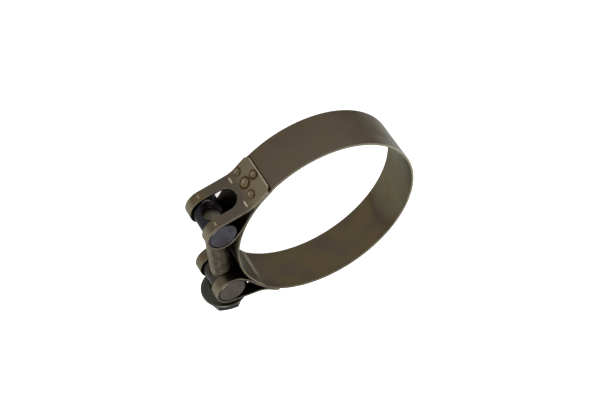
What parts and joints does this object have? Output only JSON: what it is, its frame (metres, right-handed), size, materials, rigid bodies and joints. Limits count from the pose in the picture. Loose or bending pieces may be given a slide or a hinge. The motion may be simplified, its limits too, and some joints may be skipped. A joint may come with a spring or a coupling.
{
  "type": "hose and pipe clamp",
  "caption": "Heavy-duty steel band clamp, its folded ends drawn together by a flange-head bolt through a plain and a threaded cross barrel, with a bridge strip under the gap.",
  "frame": {"origin": "middle of the bounding box, on the strap's lower edge, with the clamp lying on its side", "axes": "+Z along the ring's axis; -Y from the ring's centre to the gap and the bolt; +X along the bolt, towards its head"},
  "size_m": [0.074, 0.0864, 0.018],
  "materials": {
    "strap_steel": "dark satin stainless strip with an oily brown cast",
    "bridge_steel": "satin stainless strip",
    "nut_steel": "turned steel, blue-grey",
    "barrel_steel": "turned steel, satin",
    "bolt_steel": "cold-formed steel, satin",
    "rivet_steel": "heat-tinted steel"
  },
  "bodies": {
    "bolt_side": {"band_bolt_side": "strap_steel", "rivet_bolt_side_centre": "rivet_steel", "rivet_bolt_side_end": "rivet_steel", "rivet_bolt_side_upper": "rivet_steel", "rivet_bolt_side_lower": "rivet_steel"},
    "nut_side": {"band_nut_side": "strap_steel", "bridge": "bridge_steel", "rivet_nut_side_centre": "rivet_steel", "rivet_nut_side_end": "rivet_steel", "rivet_nut_side_upper": "rivet_steel", "rivet_nut_side_lower": "rivet_steel"},
    "plain_barrel": {"plain_barrel": "barrel_steel"},
    "nut_barrel": {"nut_barrel": "nut_steel"},
    "bolt": {"bolt": "bolt_steel"}
  },
  "joints": [
    {"name": "band_flex", "type": "hinge", "parent": "bolt_side", "child": "nut_side", "pos_m": [0, 0.04236, 0.009], "axis": [0, 0, 1], "range_deg": [0, 10.01], "deforming": ["bridge"]},
    {"name": "plain_barrel_pivot", "type": "hinge", "parent": "bolt_side", "child": "plain_barrel", "pos_m": [0.01726, -0.03421, 0.009], "axis": [0, 0, 1], "range_deg": [0, 5.01]},
    {"name": "nut_barrel_pivot", "type": "hinge", "parent": "nut_side", "child": "nut_barrel", "pos_m": [-0.01726, -0.03421, 0.009], "axis": [0, 0, 1], "range_deg": [-5.01, 0]},
    {"name": "bolt_turn", "type": "hinge", "parent": "plain_barrel", "child": "bolt", "pos_m": [0.01726, -0.03421, 0.009], "axis": [-1, 0, 0], "range_deg": [0, 3888]}
  ],
  "couplings": [
    {"joint": "band_flex", "follows": "bolt_turn", "ratio": 0.002572},
    {"joint": "plain_barrel_pivot", "follows": "bolt_turn", "ratio": 0.001286},
    {"joint": "nut_barrel_pivot", "follows": "bolt_turn", "ratio": -0.001286}
  ]
}
